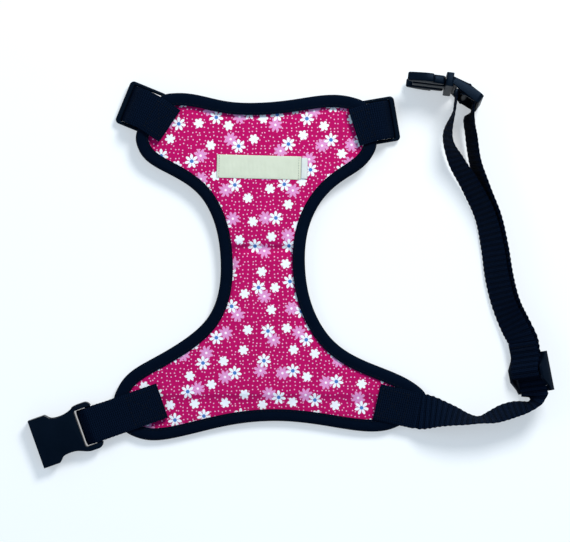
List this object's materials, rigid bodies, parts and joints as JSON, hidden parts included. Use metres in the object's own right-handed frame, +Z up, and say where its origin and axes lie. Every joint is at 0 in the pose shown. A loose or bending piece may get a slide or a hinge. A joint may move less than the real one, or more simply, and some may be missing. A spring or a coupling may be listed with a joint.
{
  "type": "dog harness",
  "caption": "Adjustable padded dog harness laid flat: hourglass chest panel, neck strap with lead ring, and girth strap with a side-release buckle.",
  "frame": {"origin": "bottom centre of the whole laid-flat harness's bounding box, on the floor", "axes": "+X to the panel's right as laid flat, +Y toward its neck edge, +Z up out of its printed side"},
  "size_m": [0.359, 0.2706, 0.0337],
  "materials": {
    "printed_cloth": "woven cotton with an all-over flower print, matt",
    "binding_cloth": "folded woven tape, matt",
    "lining_mesh": "open spacer mesh, matt",
    "padding_foam": "soft polyester padding",
    "webbing": "ribbed woven strap, slight sheen",
    "label_cloth": "woven satin label, blank",
    "tag_cloth": "folded woven tag, blank",
    "label_thread": "sewing thread",
    "black_thread": "bonded sewing thread, slight sheen",
    "buckle_plastic": "fine satin moulding",
    "ring_steel": "nickel plated, polished"
  },
  "bodies": {
    "panel": {"mesh_lining": "lining_mesh", "foam_padding": "padding_foam", "printed_shell": "printed_cloth", "edge_binding": "binding_cloth", "label": "label_cloth", "label_side_tag": "tag_cloth", "label_stitching": "label_thread", "neck_tab_left": "webbing", "neck_tab_right": "webbing", "buckle_tab": "webbing", "girth_tab": "webbing", "neck_tab_left_stitching": "black_thread", "neck_tab_right_stitching": "black_thread", "buckle_tab_stitching": "black_thread", "girth_tab_stitching": "black_thread", "neck_strap_left": "webbing", "neck_strap_right": "webbing", "ring_keeper": "webbing", "neck_strap_stitching": "black_thread"},
    "left_slider": {"neck_slider_left": "buckle_plastic"},
    "right_slider": {"neck_slider_right": "buckle_plastic"},
    "lead_ring": {"lead_ring": "ring_steel"},
    "socket": {"buckle_socket": "buckle_plastic"},
    "girth": {"girth_strap_lower": "webbing", "girth_strap_rising": "webbing"},
    "girth_loop": {"girth_strap_plug_loop": "webbing", "girth_strap_return": "webbing"},
    "girth_slider": {"girth_slider": "buckle_plastic", "girth_end_loop": "webbing", "girth_end_stitching": "black_thread"},
    "plug": {"buckle_plug": "buckle_plastic"},
    "prong_upper": {"plug_prong_upper": "buckle_plastic"},
    "prong_lower": {"plug_prong_lower": "buckle_plastic"}
  },
  "joints": [
    {"name": "neck_slider_left_swing", "type": "hinge", "parent": "panel", "child": "left_slider", "pos_m": [-0.10208, 0.11116, 0.00465], "axis": [0.3795, 0.9247, 0.0307], "range_deg": [0, 22], "deforming": ["neck_strap_left"]},
    {"name": "neck_slider_right_swing", "type": "hinge", "parent": "panel", "child": "right_slider", "pos_m": [0.05992, 0.10242, 0.00436], "axis": [0.1685, -0.9852, -0.0327], "range_deg": [0, 22], "deforming": ["neck_strap_right"]},
    {"name": "lead_ring_swing", "type": "hinge", "parent": "panel", "child": "lead_ring", "pos_m": [-0.01914, 0.08586, 0.00366], "axis": [0.0349, 0.9988, 0.0331], "range_deg": [0, 165]},
    {"name": "buckle_socket_swing", "type": "hinge", "parent": "panel", "child": "socket", "pos_m": [-0.13461, -0.10516, 0.00603], "axis": [-0.3322, 0.9427, 0.0313], "range_deg": [-75, 75]},
    {"name": "girth_strap_fold", "type": "hinge", "parent": "panel", "child": "girth", "pos_m": [0.08606, -0.09581, 0.00934], "axis": [-0.225, -0.9738, -0.0323], "range_deg": [0, 60]},
    {"name": "girth_loop_shift", "type": "slide", "parent": "girth", "child": "girth_loop", "axis": [-0.1908, 0.9816, 0], "range_m": [0, 0.012], "deforming": ["girth_strap_rising"]},
    {"name": "girth_slider_slide", "type": "slide", "parent": "girth_loop", "child": "girth_slider", "axis": [-0.1908, 0.9816, 0], "range_m": [0, 0.012], "deforming": ["girth_strap_return"]},
    {"name": "buckle_plug_swing", "type": "hinge", "parent": "girth_loop", "child": "plug", "pos_m": [0.11928, 0.1204, 0.01743], "axis": [0.0188, 0.1553, 0.9877], "range_deg": [0, 45]},
    {"name": "plug_prong_upper_flex", "type": "hinge", "parent": "plug", "child": "prong_upper", "pos_m": [0.1029, 0.12925, 0.02637], "axis": [-0.1187, -0.9805, 0.1564], "range_deg": [0, 7], "stiffness_Nm_per_rad": 1.5},
    {"name": "plug_prong_lower_flex", "type": "hinge", "parent": "plug", "child": "prong_lower", "pos_m": [0.10253, 0.12618, 0.00682], "axis": [0.1187, 0.9805, -0.1564], "range_deg": [0, 7], "stiffness_Nm_per_rad": 1.5}
  ],
  "couplings": [
    {"joint": "girth_slider_slide", "follows": "girth_loop_shift", "ratio": 1}
  ]
}
